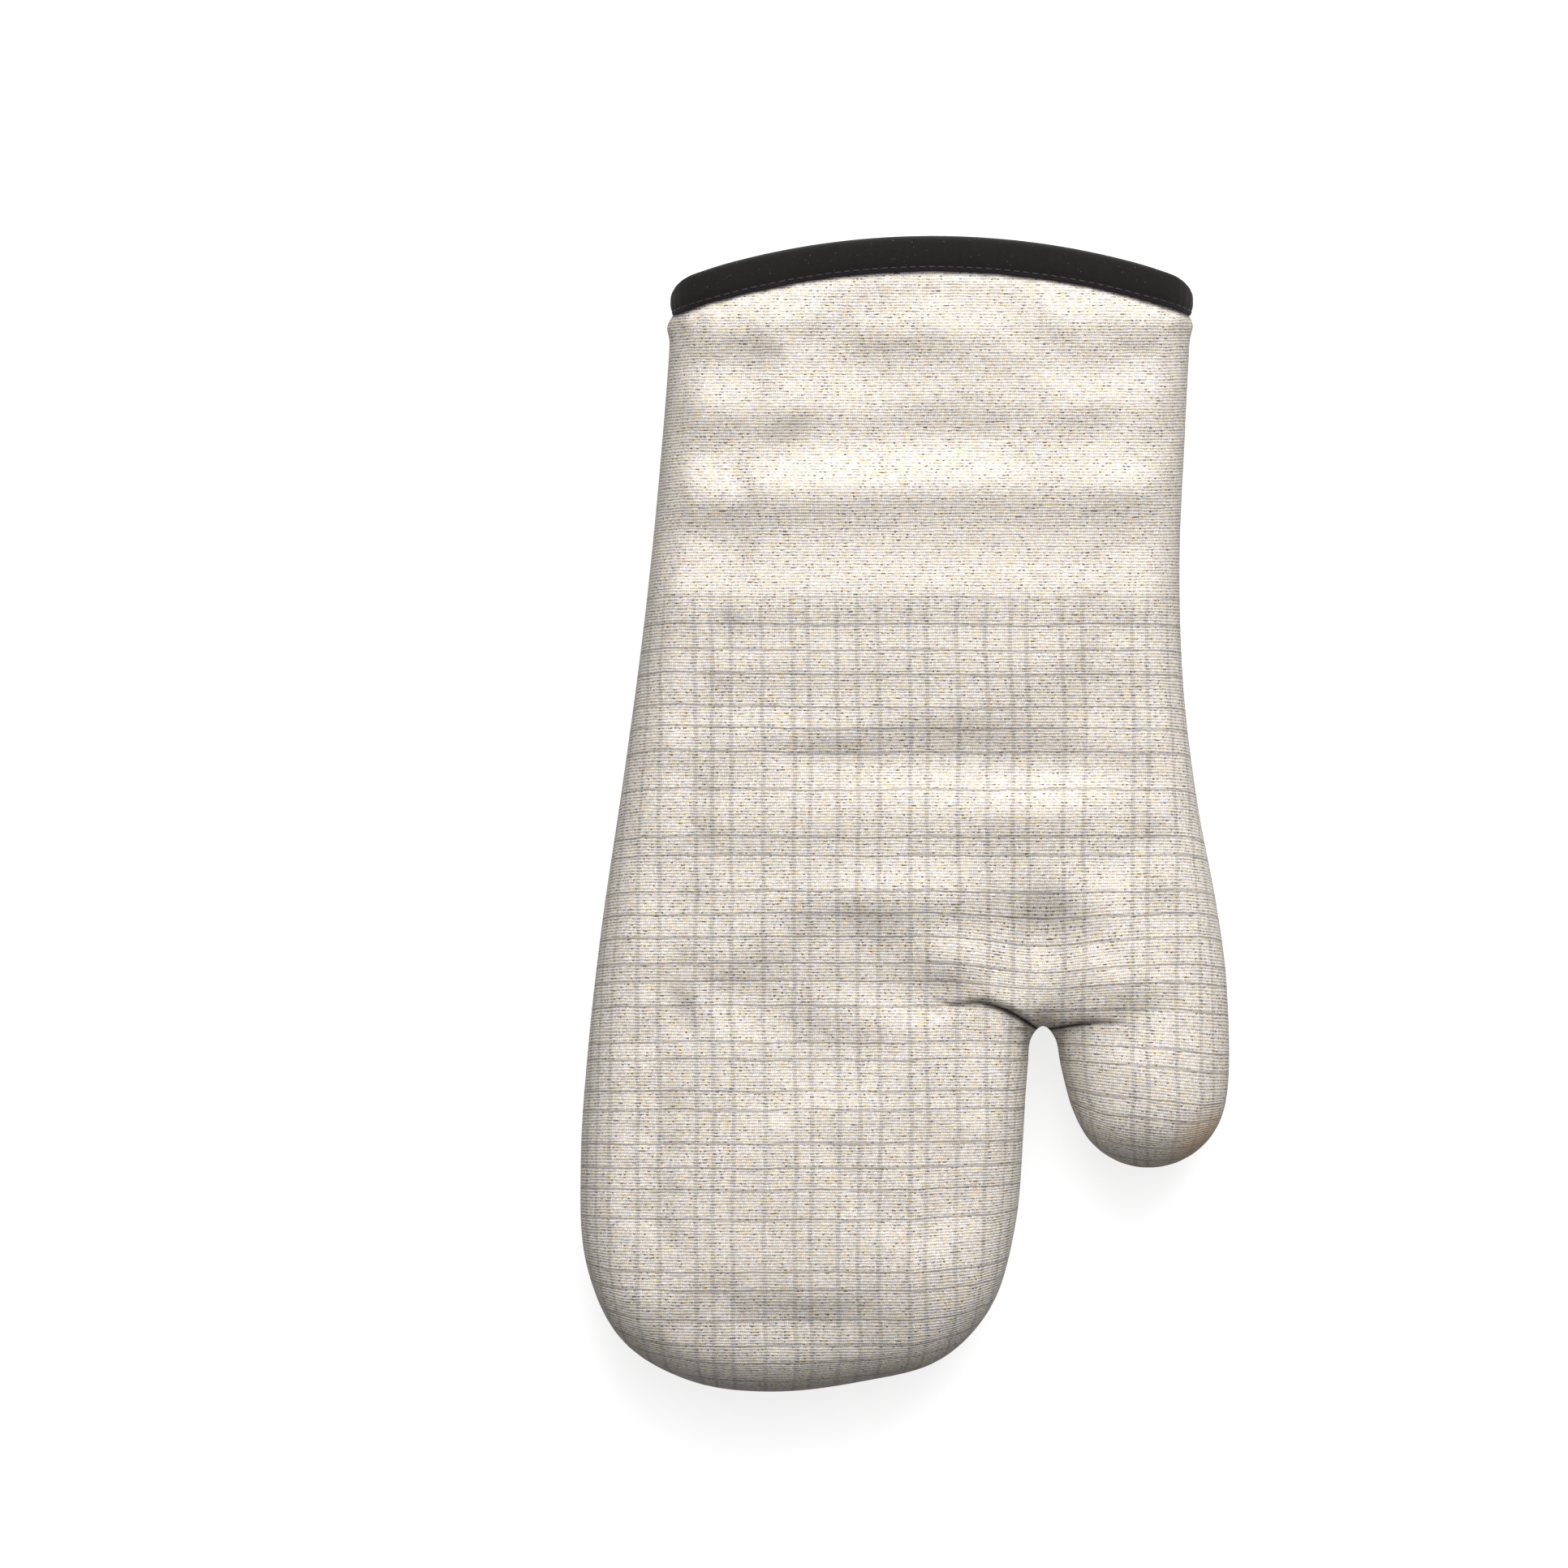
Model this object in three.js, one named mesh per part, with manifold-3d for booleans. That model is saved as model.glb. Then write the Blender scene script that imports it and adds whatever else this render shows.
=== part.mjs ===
// An oven mitt lying flat, in millimetres, +Z up. The cuff points to +Y and the thumb lies on the +X side.
// Two layered walls, front (upper) and back (lower), meet at a side seam half-way up. Each wall is a cover,
// wadding and a lining. A bias tape binds the cuff. The fingers and the thumb fold up towards the palm.
import * as THREE from 'three';
import { mergeVertices } from 'three/addons/utils/BufferGeometryUtils.js';
import Module from 'manifold-3d';

const wasm = await Module();
wasm.setup();

// Overall shape
const MITT_THICKNESS = 44;
const EDGE_ROUND = 15;
const SEAM_WALL = 3;
const SEAM_HEIGHT = MITT_THICKNESS / 2;
const POINTS_PER_SPAN = 2;
const ROUNDING_STEPS = 3;

// Layers of the wall, as depths below the outer face of the cloth
const TOUCH_GAP = 0.3;
const COVER = { from: 0, to: 1.1 };
const WADDING = { from: 1.4, to: 5.6 };
const LINING = { from: 5.9, to: 6.7 };

// Seam allowance, standing into the hand space along the side seam
const ALLOWANCE = { from: 7, to: 12, thickness: 2 };

// Cuff: its edge is an arc, and the tape folds over it
const CUFF_ARC_RADIUS = 227;
const CUFF_CROWN = { x: 8, y: 165.3 };
const TAPE_WIDTH = 9.5;
const TAPE_THICKNESS = 1.2;
const TAPE_OUTSIDE = -TOUCH_GAP - TAPE_THICKNESS;
const TAPE_INSIDE = LINING.to + TOUCH_GAP + TAPE_THICKNESS;
const STITCH = { fromTapeEdge: 1.3, width: 1, thickness: 0.35, groove: 0.7 };

// Folds: a hinge line across the wall, with a V of room above it. `along` is the reach of the fold line
// either side of `at`, and `outward` points to the piece that moves, in degrees from +X.
const HINGE_HEIGHT = 33;
const FOLD_GAP = 0.6;
const FINGER_FOLD = { at: [-29, -72], outward: -90, along: [-67.5, 75], angle: 50 };
const THUMB_FOLD = { at: [66.8, -45.1], outward: -45, along: [-40, 44], angle: 40 };

// Past every edge of the mitt, for the solids that cut it
const BEYOND = 120;
const HIGH = MITT_THICKNESS + 10;
const LOW = -10;

// The thumb's round end and the round bottom of the gap beside it, seen from above
const THUMB_TIP = { x: 70, y: -79, radius: 22 };
const CROTCH = { x: 39.8, y: -64.3, radius: 3.6 };

// The edge of the mitt seen from above, anticlockwise. Both cuff corners stand past the cuff arc.
const MITT_EDGE = [
  [92, -50], [88.8, -25], [83.7, 2], [79.6, 35], [78.4, 72], [80, 110], [81.8, 150], [82, 205],
  [-66, 205], [-66, 150], [-69, 105], [-74, 55], [-80, 10], [-85.9, -30], [-90, -66], [-92.2, -100],
  [-90.6, -129], [-80.5, -150.5], [-61, -162], [-38, -165], [-12, -162], [10, -156], [24.5, -141],
  [31.5, -117], [33.6, -92], [34.6, -76], ...arc(CROTCH, 180, 0, 3), [45.5, -72.5], ...arc(THUMB_TIP, 195, 345, 6),
];

const CLOTH = new THREE.MeshStandardMaterial({ color: '#d9d1c2', roughness: 0.95, metalness: 0 });
const WADDING_FILL = new THREE.MeshStandardMaterial({ color: '#f1efe9', roughness: 1, metalness: 0 });
const LINING_CLOTH = new THREE.MeshStandardMaterial({ color: '#e6e0d4', roughness: 0.95, metalness: 0 });
const TAPE = new THREE.MeshStandardMaterial({ color: '#231f1e', roughness: 0.9, metalness: 0 });
const THREAD = new THREE.MeshStandardMaterial({ color: '#17161a', roughness: 0.7, metalness: 0 });
const SEAM_CLOTH = new THREE.MeshStandardMaterial({ color: '#cfc7b8', roughness: 0.95, metalness: 0 });

const mitt = new THREE.Group();

function arc({ x, y, radius }, fromDegrees, toDegrees, count) {
  const points = [];
  for (let i = 0; i < count; i += 1) {
    const turn = THREE.MathUtils.degToRad(fromDegrees + (toDegrees - fromDegrees) * i / (count - 1));
    points.push([x + radius * Math.cos(turn), y + radius * Math.sin(turn)]);
  }
  return points;
}

function toSolid(geometry) {
  geometry.deleteAttribute('normal');
  geometry.deleteAttribute('uv');
  const merged = mergeVertices(geometry, 1e-4);
  return new wasm.Manifold(new wasm.Mesh({
    numProp: 3,
    vertProperties: new Float32Array(merged.attributes.position.array),
    triVerts: new Uint32Array(merged.index.array),
  }));
}

function toGeometry(solid) {
  const mesh = solid.getMesh();
  const geometry = new THREE.BufferGeometry();
  geometry.setAttribute('position', new THREE.BufferAttribute(new Float32Array(mesh.vertProperties), 3));
  geometry.setIndex(new THREE.BufferAttribute(new Uint32Array(mesh.triVerts), 1));
  geometry.computeVertexNormals();
  return geometry;
}

function addPiece(name, solid, material) {
  const mesh = new THREE.Mesh(toGeometry(solid), material);
  mesh.name = name;
  mitt.add(mesh);
}

// The mitt's edge moved inwards by EDGE_ROUND: the rounding grows back out from this line.
function coreOutline() {
  const points = MITT_EDGE.map(([x, y]) => new THREE.Vector3(x, y, 0));
  const curve = new THREE.CatmullRomCurve3(points, true, 'centripetal');
  const samples = MITT_EDGE.length * POINTS_PER_SPAN;
  const outline = [];
  for (let i = 0; i < samples; i += 1) {
    const point = curve.getPoint(i / samples);
    const along = curve.getTangent(i / samples);
    outline.push(new THREE.Vector2(point.x - along.y * EDGE_ROUND, point.y + along.x * EDGE_ROUND));
  }
  return new THREE.Shape(outline);
}

const core = coreOutline();

// A closed solid of the whole mitt, its surface `depth` below the outer face of the cloth.
function mittSolid(depth) {
  const geometry = new THREE.ExtrudeGeometry(core, {
    depth: SEAM_WALL,
    bevelThickness: (MITT_THICKNESS - SEAM_WALL) / 2 - depth,
    bevelSize: EDGE_ROUND - depth,
    bevelSegments: ROUNDING_STEPS,
    steps: 1,
  });
  geometry.translate(0, 0, SEAM_HEIGHT - SEAM_WALL / 2);
  return toSolid(geometry);
}

function layer({ from, to }) {
  return mittSolid(from).subtract(mittSolid(to));
}

// Everything on the hand's side of the cuff arc, `short` millimetres before it.
function insideCuff(short) {
  const radius = CUFF_ARC_RADIUS - short;
  const disc = new THREE.CylinderGeometry(radius, radius, HIGH - LOW, 180);
  disc.rotateX(Math.PI / 2);
  disc.translate(CUFF_CROWN.x, CUFF_CROWN.y - CUFF_ARC_RADIUS, (HIGH + LOW) / 2);
  return toSolid(disc);
}

function cuffBand(from, width) {
  return insideCuff(from).subtract(insideCuff(from + width));
}

function slab(bottom, top) {
  const box = new THREE.BoxGeometry(8 * BEYOND, 8 * BEYOND, top - bottom);
  box.translate(0, 0, (bottom + top) / 2);
  return toSolid(box);
}

// Everything past a fold line. Its face leans away from the other side above the hinge, so that the two
// faces meet when the fold is closed. side is 1 for the piece that moves and -1 for what the palm gives up.
function pastFold(fold, side) {
  const start = side * FOLD_GAP / 2;
  const lean = side * Math.tan(THREE.MathUtils.degToRad(fold.angle / 2)) * (HIGH - HINGE_HEIGHT);
  const face = new THREE.Shape([
    new THREE.Vector2(BEYOND, LOW),
    new THREE.Vector2(BEYOND, HIGH),
    new THREE.Vector2(start + lean, HIGH),
    new THREE.Vector2(start, HINGE_HEIGHT),
    new THREE.Vector2(start, LOW),
  ]);
  const [near, far] = fold.along;
  const prism = new THREE.ExtrudeGeometry(face, { depth: far - near, bevelEnabled: false });
  prism.translate(0, 0, near);
  const turn = THREE.MathUtils.degToRad(fold.outward);
  const outward = new THREE.Vector3(Math.cos(turn), Math.sin(turn), 0);
  const up = new THREE.Vector3(0, 0, 1);
  const placed = new THREE.Matrix4().makeBasis(outward, up, outward.clone().cross(up));
  prism.applyMatrix4(placed);
  prism.translate(fold.at[0], fold.at[1], 0);
  return toSolid(prism);
}

const fingerSide = pastFold(FINGER_FOLD, 1);
const thumbSide = pastFold(THUMB_FOLD, 1);
const givenUp = pastFold(FINGER_FOLD, -1).add(pastFold(THUMB_FOLD, -1));

function addWalls() {
  const layers = [['cover', COVER, CLOTH], ['wadding', WADDING, WADDING_FILL], ['lining', LINING, LINING_CLOTH]];
  const halves = [
    ['front', slab(SEAM_HEIGHT + TOUCH_GAP / 2, HIGH)],
    ['back', slab(LOW, SEAM_HEIGHT - TOUCH_GAP / 2)],
  ];
  const endsUnderTape = insideCuff(TAPE_THICKNESS + TOUCH_GAP);
  for (const [layerName, depths, material] of layers) {
    const whole = layer(depths).intersect(endsUnderTape);
    for (const [halfName, half] of halves) {
      const wall = whole.intersect(half);
      addPiece(`palm_${halfName}_${layerName}`, wall.subtract(givenUp), material);
      addPiece(`fingers_${halfName}_${layerName}`, wall.intersect(fingerSide), material);
      addPiece(`thumb_${halfName}_${layerName}`, wall.intersect(thumbSide), material);
    }
  }
}

// The turned-in edges of both walls, sewn together along the side seam.
function addSeamAllowances() {
  const half = ALLOWANCE.thickness / 2;
  const ring = layer(ALLOWANCE)
    .intersect(slab(SEAM_HEIGHT - half, SEAM_HEIGHT + half))
    .intersect(insideCuff(TAPE_WIDTH + TOUCH_GAP));
  const inPalm = ring.subtract(givenUp).decompose();
  inPalm.sort((a, b) => a.boundingBox().min[0] - b.boundingBox().min[0]);
  const [little, crotch, wrist] = inPalm;
  addPiece('seam_allowance_little_finger_side', little, SEAM_CLOTH);
  addPiece('seam_allowance_crotch', crotch, SEAM_CLOTH);
  addPiece('seam_allowance_thumb_side', wrist, SEAM_CLOTH);
  addPiece('seam_allowance_fingers', ring.intersect(fingerSide), SEAM_CLOTH);
  addPiece('seam_allowance_thumb', ring.intersect(thumbSide), SEAM_CLOTH);
}

// A thread sunk into the face of the tape, and the groove that it lies in.
function stitchRow(faceDepth, into) {
  const centre = TAPE_WIDTH - STITCH.fromTapeEdge;
  const ring = (near, far, width) => layer({ from: Math.min(near, far), to: Math.max(near, far) })
    .intersect(cuffBand(centre - width / 2, width));
  const threadFrom = faceDepth + into * 0.05;
  return {
    thread: ring(threadFrom, threadFrom + into * STITCH.thickness, STITCH.width),
    groove: ring(faceDepth - into, faceDepth + into * STITCH.groove, STITCH.width + 2 * TOUCH_GAP),
  };
}

// The bias tape: a U in section, folded over the end of both walls all the way round the mouth.
function addBinding() {
  const outside = stitchRow(TAPE_OUTSIDE, 1);
  const inside = stitchRow(TAPE_INSIDE, -1);
  const wallRoom = layer({ from: COVER.from - TOUCH_GAP, to: LINING.to + TOUCH_GAP });
  const binding = layer({ from: TAPE_OUTSIDE, to: TAPE_INSIDE })
    .intersect(cuffBand(0, TAPE_WIDTH))
    .subtract(wallRoom.intersect(insideCuff(TAPE_THICKNESS)))
    .subtract(outside.groove)
    .subtract(inside.groove);
  addPiece('cuff_binding', binding, TAPE);
  addPiece('binding_stitching_outside', outside.thread, THREAD);
  addPiece('binding_stitching_inside', inside.thread, THREAD);
}

addWalls();
addSeamAllowances();
addBinding();

// The mitt stands on z = 0, centred on x = 0 and y = 0.
const box = new THREE.Box3().setFromObject(mitt);
const middle = box.getCenter(new THREE.Vector3());
mitt.position.set(-middle.x, -middle.y, -box.min.z);

export default mitt;
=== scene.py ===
"""The looks of an oven mitt that lies flat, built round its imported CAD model. Lengths are in metres."""
import math

import bmesh
import bpy
import numpy as np
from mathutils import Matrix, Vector, noise
from mathutils.geometry import delaunay_2d_cdt


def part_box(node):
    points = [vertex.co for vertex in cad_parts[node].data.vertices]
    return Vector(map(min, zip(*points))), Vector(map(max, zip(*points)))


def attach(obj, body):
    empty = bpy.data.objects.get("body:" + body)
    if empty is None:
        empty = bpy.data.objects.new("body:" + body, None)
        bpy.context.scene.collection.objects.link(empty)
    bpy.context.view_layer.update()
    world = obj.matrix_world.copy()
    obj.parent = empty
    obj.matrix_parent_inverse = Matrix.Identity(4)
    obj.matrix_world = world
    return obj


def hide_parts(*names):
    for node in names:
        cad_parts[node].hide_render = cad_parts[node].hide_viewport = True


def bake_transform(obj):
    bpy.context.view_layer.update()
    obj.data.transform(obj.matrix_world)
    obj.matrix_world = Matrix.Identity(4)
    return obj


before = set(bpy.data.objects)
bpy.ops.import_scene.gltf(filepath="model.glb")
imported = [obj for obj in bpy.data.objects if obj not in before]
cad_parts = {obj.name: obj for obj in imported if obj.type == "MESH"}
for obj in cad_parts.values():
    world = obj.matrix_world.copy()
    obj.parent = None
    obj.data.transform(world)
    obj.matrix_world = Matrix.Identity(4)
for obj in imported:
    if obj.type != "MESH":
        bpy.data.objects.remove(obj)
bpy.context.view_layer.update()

MM = 0.001
SHIFT = np.array((-0.212, -0.137, 0.0))  # from the outline's origin to the CAD model's, in millimetres

# ---- the mitt's shape, in millimetres, in the CAD model's frame ----
PALM_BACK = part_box("palm_back_cover")
SEAM_Z = PALM_BACK[1][2] / MM + 0.15
FRONT_RISE = 20.6
BACK_DROP = SEAM_Z - 0.4
CUFF_BACK_DROP = SEAM_Z - 1.7
EDGE_ROUND = 14.0
EDGE_FULLNESS = 2.4  # 2 would be a quarter circle
FULL_WIDTH_REACH = 50.0
POINTS_AT_ONCE = 4000

CUFF_ARC_RADIUS = 227.0
CUFF_CROWN = (8.0, 165.3)
CUFF_SIDES = (81.2, -65.4)
TAPE_WIDTH = 10.3
TAPE_CORNER = 5.0  # the radius that rounds the tape's two ends in the plan
WALL = 6.7
COVER_THICKNESS = 1.1
LINING_THICKNESS = 0.8
COVER_SHORT = 6.0  # how far before the cuff's edge the cover ends, under the tape
LINING_SHORT = 8.2
LINING_SHARE = 0.72  # of the cover's height above and below the seam

CROTCH = (39.8, -60.7)
CROTCH_ARC = (39.8, -64.3, 3.6)
THUMB_TIP = (70.0, -79.0, 22.0)
THUMB_OUTWARD = (math.sqrt(0.5), -math.sqrt(0.5))


def arc(circle, first, last, count):
    x, y, radius = circle
    turns = np.radians(np.linspace(first, last, count))
    return [(x + radius * math.cos(t), y + radius * math.sin(t)) for t in turns]


EDGE_POINTS = [
    (92, -50), (88.8, -25), (83.7, 2), (79.6, 35), (78.4, 72), (80, 110), (81.8, 150), (82, 205),
    (-66, 205), (-66, 150), (-69, 105), (-74, 55), (-80, 10), (-85.9, -30), (-90, -66), (-92.2, -100),
    (-90.6, -129), (-80.5, -150.5), (-61, -162), (-38, -165), (-12, -162), (10, -156), (24.5, -141),
    (31.5, -117), (33.6, -92), (34.6, -76), *arc(CROTCH_ARC, 180, 0, 3), (45.5, -72.5),
    *arc(THUMB_TIP, 195, 345, 6),
]


def smooth_loop(points, per_span):
    """A closed centripetal Catmull-Rom curve through the points."""
    p = np.array(points, float)
    out = []
    for i in range(len(p)):
        a, b, c, d = (p[(i + k) % len(p)] for k in (-1, 0, 1, 2))
        t0 = 0.0
        t1 = t0 + np.linalg.norm(b - a) ** 0.5
        t2 = t1 + np.linalg.norm(c - b) ** 0.5
        t3 = t2 + np.linalg.norm(d - c) ** 0.5
        for t in t1 + (t2 - t1) * np.arange(per_span) / per_span:
            ab = (t1 - t) / (t1 - t0) * a + (t - t0) / (t1 - t0) * b
            bc = (t2 - t) / (t2 - t1) * b + (t - t1) / (t2 - t1) * c
            cd = (t3 - t) / (t3 - t2) * c + (t - t2) / (t3 - t2) * d
            abc = (t2 - t) / (t2 - t0) * ab + (t - t0) / (t2 - t0) * bc
            bcd = (t3 - t) / (t3 - t1) * bc + (t - t1) / (t3 - t1) * cd
            out.append((t2 - t) / (t2 - t1) * abc + (t - t1) / (t2 - t1) * bcd)
    return np.array(out)


def spaced(loop, spacing):
    """The closed loop resampled at even steps of about the given spacing."""
    closed = np.vstack([loop, loop[:1]])
    run = np.concatenate([[0], np.cumsum(np.linalg.norm(np.diff(closed, axis=0), axis=1))])
    count = int(round(run[-1] / spacing))
    at = np.arange(count) * run[-1] / count
    return np.column_stack([np.interp(at, run, closed[:, k]) for k in (0, 1)])


OUTLINE = smooth_loop(EDGE_POINTS, 12)


def smoothstep(low, high, value):
    t = np.clip((value - low) / (high - low), 0, 1)
    return t * t * (3 - 2 * t)


def edge_distance(xy):
    """How far each point lies inside the outline, and the unit direction to the nearest edge."""
    start = OUTLINE
    step = np.roll(OUTLINE, -1, axis=0) - start
    length = (step ** 2).sum(1)
    inside = np.empty(len(xy))
    out = np.empty((len(xy), 2))
    for low in range(0, len(xy), POINTS_AT_ONCE):
        batch = slice(low, low + POINTS_AT_ONCE)
        p = xy[batch]
        rel = p[:, None, :] - start[None]
        t = np.clip((rel * step).sum(2) / length, 0, 1)
        gap = rel - t[..., None] * step
        nearest = (gap ** 2).sum(2).argmin(1)
        row = np.arange(len(p))
        g = gap[row, nearest]
        s = step[nearest]
        normal = np.column_stack([s[:, 1], -s[:, 0]]) / np.sqrt(length[nearest])[:, None]
        side = -(g * normal).sum(1)
        distance = np.sqrt((g ** 2).sum(1)) * np.sign(side + 1e-12)
        inside[batch] = distance
        far = np.abs(distance) > 0.5
        toward = -g / np.maximum(np.abs(distance), 1e-9)[:, None] * np.sign(distance)[:, None]
        out[batch] = np.where(far[:, None], toward, normal)
    return inside, out


def cuff_arc(x):
    """The y of the cuff's edge at each x."""
    return CUFF_CROWN[1] - CUFF_ARC_RADIUS + np.sqrt(CUFF_ARC_RADIUS ** 2 - (x - CUFF_CROWN[0]) ** 2)


def wave(x, y, size, seed):
    """Smooth noise from -1 to 1 that changes over about `size` millimetres."""
    return np.array([noise.noise(Vector((a / size, b / size, seed))) for a, b in zip(x, y)])


# Soft rises and dents of the front: x, y, reach across, reach along, height
PUFFS = [
    (-4, -23, 32, 7.0, 2.5), (56, -48, 10, 10, 4.4), (39, -34, 6.5, 10, -4.4), (16, -42, 16, 7, 1.8),
    (-30, -92, 34, 22, 0.9), (-52, -40, 24, 18, 0.9), (70, -86, 12, 13, 1.2), (0, -130, 30, 18, 0.9),
    (46, 2, 24, 8, 1.8), (-60, -128, 18, 22, 0.6), (24, -92, 12, 13, 1.8), (62, -20, 16, 6, 1.2),
]

# Crests of the soft folds across the front, from the cuff down: y, height
FOLDS = [(141, 2.9), (117, 3.0), (92.5, 3.1), (61, 2.4), (43, 1.5), (21, 1.5), (-1, 1.1), (-72, 0.4)]
FOLD_REACH = 8.0

# The two creases that run from the crotch into the front: points, then depth at the crotch
CREASES = [
    ([(38.2, -61.4), (32.6, -57.8), (27.2, -55.2), (21, -53.7), (14, -54.4), (7, -52.3)], 4.6),
    ([(41.6, -61.4), (48.6, -60.2), (55.6, -59.5), (64.5, -60)], 3.8),
]


def fold_height(x, y):
    """How far the folds and the puffs lift the front at each point."""
    lift = np.zeros(len(x))
    sway = 2.5 * wave(x, y, 110, 3.1)
    strength = 0.9 + 0.3 * wave(x, y, 60, 7.7)
    for crest, height in FOLDS:
        lift += height * strength * np.exp(-((y - crest - sway) / FOLD_REACH) ** 2)
    for cx, cy, rx, ry, height in PUFFS:
        lift += height * np.exp(-((x - cx) / rx) ** 2 - ((y - cy) / ry) ** 2)
    return lift + 0.3 * wave(x, y, 26, 1.3) * smoothstep(110, 60, y)


def crease_distance(p):
    """For each crease, how far along it each point is (0 to 1), and the signed gap; then the least gap."""
    found = []
    least = np.full(len(p), 1e9)
    for points, depth in CREASES:
        line = smooth_line(points)
        step = np.diff(line, axis=0)
        span = np.linalg.norm(step, axis=1)
        run = np.concatenate([[0], np.cumsum(span)])
        rel = p[:, None, :] - line[None, :-1]
        t = np.clip((rel * step).sum(2) / span ** 2, 0, 1)
        gap = rel - t[..., None] * step
        size = np.linalg.norm(gap, axis=2)
        nearest = size.argmin(1)
        row = np.arange(len(p))
        along = (run[nearest] + t[row, nearest] * span[nearest]) / run[-1]
        above = np.sign(gap[row, nearest, 1] + 1e-9)
        found.append((along, size[row, nearest] * above, depth))
        least = np.minimum(least, size[row, nearest])
    return found, least


def smooth_line(points, per_span=6):
    """An open line through the points, rounded between them."""
    p = np.array(points, float)
    p = np.vstack([2 * p[0] - p[1], p, 2 * p[-1] - p[-2]])
    out = []
    for a, b, c, d in zip(p, p[1:], p[2:], p[3:]):
        for t in np.arange(per_span) / per_span:
            out.append(0.5 * (2 * b + (c - a) * t + (2 * a - 5 * b + 4 * c - d) * t ** 2
                              + (3 * b - a - 3 * c + d) * t ** 3))
    return np.array(out + [p[-2]])


def crease_height(x, y):
    """The lift of the cloth at the two creases, where the cuff side rolls over the side below, and their shade."""
    found, _ = crease_distance(np.column_stack([x, y]))
    lift = np.zeros(len(x))
    dip = np.zeros(len(x))
    shade = np.zeros(len(x))
    for along, gap, depth in found:
        fade = (1 - along) ** 1.15
        above = np.clip(gap, 0, None)
        below = np.clip(-gap, 0, None)
        sharp = 0.55 + 1.6 * along
        roll = (1 - np.exp(-(above / sharp) ** 1.3)) * np.exp(-(above / 8.0) ** 2)
        lift = np.maximum(lift, depth * 0.75 * fade * roll)
        under = np.exp(-above / 0.5) * np.exp(-(below / 3.5) ** 1.2)
        slit = np.exp(-((gap + 0.2) / 0.7) ** 2)
        dip = np.maximum(dip, depth * (0.6 * fade * under + 0.6 * fade * slit))
        # painted shade: a thin dark line in each crease and a softer darker band on the side below it, kept as
        # colour
        line = np.exp(-((gap + 0.1) / 0.5) ** 2) * np.clip(1.7 * fade, 0, 1)
        shade = np.maximum(shade, line + 0.28 * fade * np.exp(-below / 2.2 - above / 0.8))
    return lift - dip, shade


def edge_roll(e):
    """The share of the full height at a share e of the way in from the edge: fuller than a round."""
    return (1 - (1 - np.clip(e, 0, 1)) ** EDGE_FULLNESS) ** (1 / EDGE_FULLNESS)


def surface(xy, front):
    """The height of the cover's outer face over each point of the plan."""
    inside, _ = edge_distance(xy)
    x, y = xy[:, 0], xy[:, 1]
    roll = edge_roll(inside / EDGE_ROUND)
    crown = 1 - np.exp(-(np.clip(inside, 0, None) / FULL_WIDTH_REACH * 2) ** 2)
    if not front:
        drop = BACK_DROP + (CUFF_BACK_DROP - BACK_DROP) * smoothstep(90, 150, y)
        return SEAM_Z - drop * roll
    rise = FRONT_RISE * (0.86 * roll + 0.14 * crown * roll)
    rise *= 1 - 0.07 * smoothstep(20, 150, y)
    return SEAM_Z + rise


# ---- the padded mitt: two panels joined at the seam, then inflated ----
PANEL_SPACING = 6.9
RING_TURNS = (0, 4, 11, 22, 36, 50, 64, 77)
FINE_SPACING = 2.1
CREASE_ZONE = 5.0
CROTCH_ZONE = (9, 10)  # the edge is cut finer within the first, and evenly beyond the second


def panel():
    """Plan points and triangles of one cut panel: rings along the edge, then an even interior."""
    loop = spaced(OUTLINE, PANEL_SPACING * 0.8)
    near = np.linalg.norm(OUTLINE - np.array(CROTCH), axis=1) < CROTCH_ZONE[0]
    far = np.linalg.norm(loop - np.array(CROTCH), axis=1) >= CROTCH_ZONE[1]
    order = np.concatenate([loop[far], OUTLINE[near][::2]])
    keys = [int(np.argmin(((OUTLINE - p) ** 2).sum(1))) for p in order]
    loop = order[np.argsort(keys)]
    _, out = edge_distance(loop)
    turns = np.sin(np.radians(RING_TURNS))
    shares = 1 - (1 - turns ** EDGE_FULLNESS) ** (1 / EDGE_FULLNESS)
    even = np.linspace(0, shares[-1], len(shares))
    rings = [loop - out * EDGE_ROUND * share for share in shares]
    spread = [loop - out * EDGE_ROUND * share for share in even]
    core = np.vstack([even_grid((-96, 97), (-168, 208), PANEL_SPACING, shares[-1] * EDGE_ROUND, False),
                      even_grid((0, 72), (-72, -40), FINE_SPACING, shares[-1] * EDGE_ROUND, True)])
    edges = [(i, (i + 1) % len(loop)) for i in range(len(loop))]
    flat = np.vstack(spread + [core])
    result = delaunay_2d_cdt([Vector(p) for p in flat], edges, [], 1, 1e-5)
    points = np.vstack(rings + [core])
    plan = np.array([points[own[0]] if own else tuple(v) for v, own in zip(result[0], result[3])])
    on_seam = np.array([not own or own[0] < len(loop) for own in result[3]])
    return plan, [tuple(f) for f in result[2]], on_seam


def even_grid(columns, rows, spacing, margin, near_crease):
    """Triangular grid points well inside the edge, either near the creases or away from them."""
    grid = np.array([(x + (j % 2) * spacing / 2, y)
                     for j, y in enumerate(np.arange(*rows, spacing * math.sqrt(0.75)))
                     for x in np.arange(*columns, spacing)])
    inside, _ = edge_distance(grid)
    _, gap = crease_distance(grid)
    return grid[(inside > margin + spacing * 0.6) & ((gap < CREASE_ZONE) == near_crease)]


def make_mesh(name, points_mm, faces):
    """A mesh in metres from points in the outline's millimetres."""
    mesh = bpy.data.meshes.new(name)
    mesh.from_pydata(((np.asarray(points_mm) + SHIFT) * MM).tolist(), [], faces)
    mesh.update()
    return mesh


def link(name, mesh):
    obj = bpy.data.objects.new(name, mesh)
    bpy.context.scene.collection.objects.link(obj)
    return obj


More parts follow.
